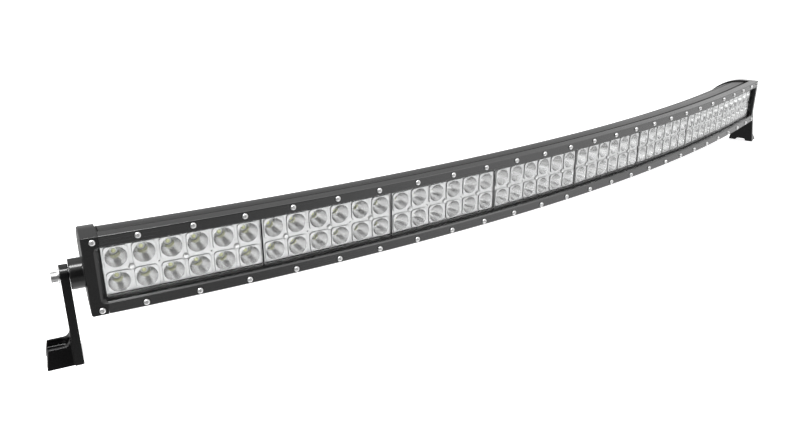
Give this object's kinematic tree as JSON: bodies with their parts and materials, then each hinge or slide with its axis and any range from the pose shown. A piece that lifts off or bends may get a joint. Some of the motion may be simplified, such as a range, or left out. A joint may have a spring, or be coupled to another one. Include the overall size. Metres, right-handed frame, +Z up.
{
  "type": "led light bar",
  "caption": "Curved double-row LED light bar with a finned housing, bezel rails, clear lens, reflector modules, end caps and two swivelling foot brackets.",
  "frame": {"origin": "middle of the footprint, on the plane of the two feet's undersides, which is the surface the bar is bolted to", "axes": "+X along the bar, -Y towards what it lights (the convex lens side), +Z up"},
  "size_m": [1.3586, 0.1532, 0.1235],
  "materials": {
    "housing": "satin black powder coat on an aluminium extrusion",
    "rail": "satin black anodised aluminium",
    "end_cap": "black powder-coated aluminium casting",
    "bracket": "semi-gloss black powder-coated aluminium casting",
    "lens": "clear polycarbonate",
    "reflector": "vacuum-metallised, bright mirror",
    "led_board": "white solder mask on an aluminium core",
    "driver_board": "green glass-fibre circuit board",
    "stainless": "bright stainless steel",
    "black_screw": "black oxide steel",
    "rubber": "matt silicone rubber",
    "nylon": "black nylon"
  },
  "bodies": {
    "bar": {"housing": "housing", "top_rail": "rail", "bottom_rail": "rail", "lens": "lens", "top_lens_gasket": "rubber", "bottom_lens_gasket": "rubber", "reflector_1": "reflector", "led_board_1": "led_board", "reflector_2": "reflector", "led_board_2": "led_board", "reflector_3": "reflector", "led_board_3": "led_board", "reflector_4": "reflector", "led_board_4": "led_board", "reflector_5": "reflector", "led_board_5": "led_board", "reflector_6": "reflector", "led_board_6": "led_board", "reflector_7": "reflector", "led_board_7": "led_board", "reflector_8": "reflector", "led_board_8": "led_board", "driver_board": "driver_board", "cable_gland": "nylon", "gland_nut": "nylon", "gland_seal": "rubber", "breather_vent": "nylon", "left_end_cap": "end_cap", "left_end_gasket": "rubber", "left_front_screw_top": "stainless", "left_front_screw_bottom": "stainless", "left_side_screw_top": "black_screw", "left_side_screw_bottom": "black_screw", "left_side_screw_rear": "black_screw", "left_pivot_washer": "stainless", "left_pivot_bolt": "stainless", "right_end_cap": "end_cap", "right_end_gasket": "rubber", "right_front_screw_top": "stainless", "right_front_screw_bottom": "stainless", "right_side_screw_top": "black_screw", "right_side_screw_bottom": "black_screw", "right_side_screw_rear": "black_screw", "right_pivot_washer": "stainless", "right_pivot_bolt": "stainless"},
    "left_bracket": {"left_bracket": "bracket"},
    "right_bracket": {"right_bracket": "bracket"}
  },
  "joints": [
    {"name": "left_bracket_pivot", "type": "hinge", "parent": "bar", "child": "left_bracket", "pos_m": [-0.64757, 0.01411, 0.084], "axis": [0.9767, -0.2146, 0], "continuous": true},
    {"name": "right_bracket_pivot", "type": "hinge", "parent": "bar", "child": "right_bracket", "pos_m": [0.64757, 0.01411, 0.084], "axis": [0.9767, 0.2146, 0], "continuous": true}
  ]
}
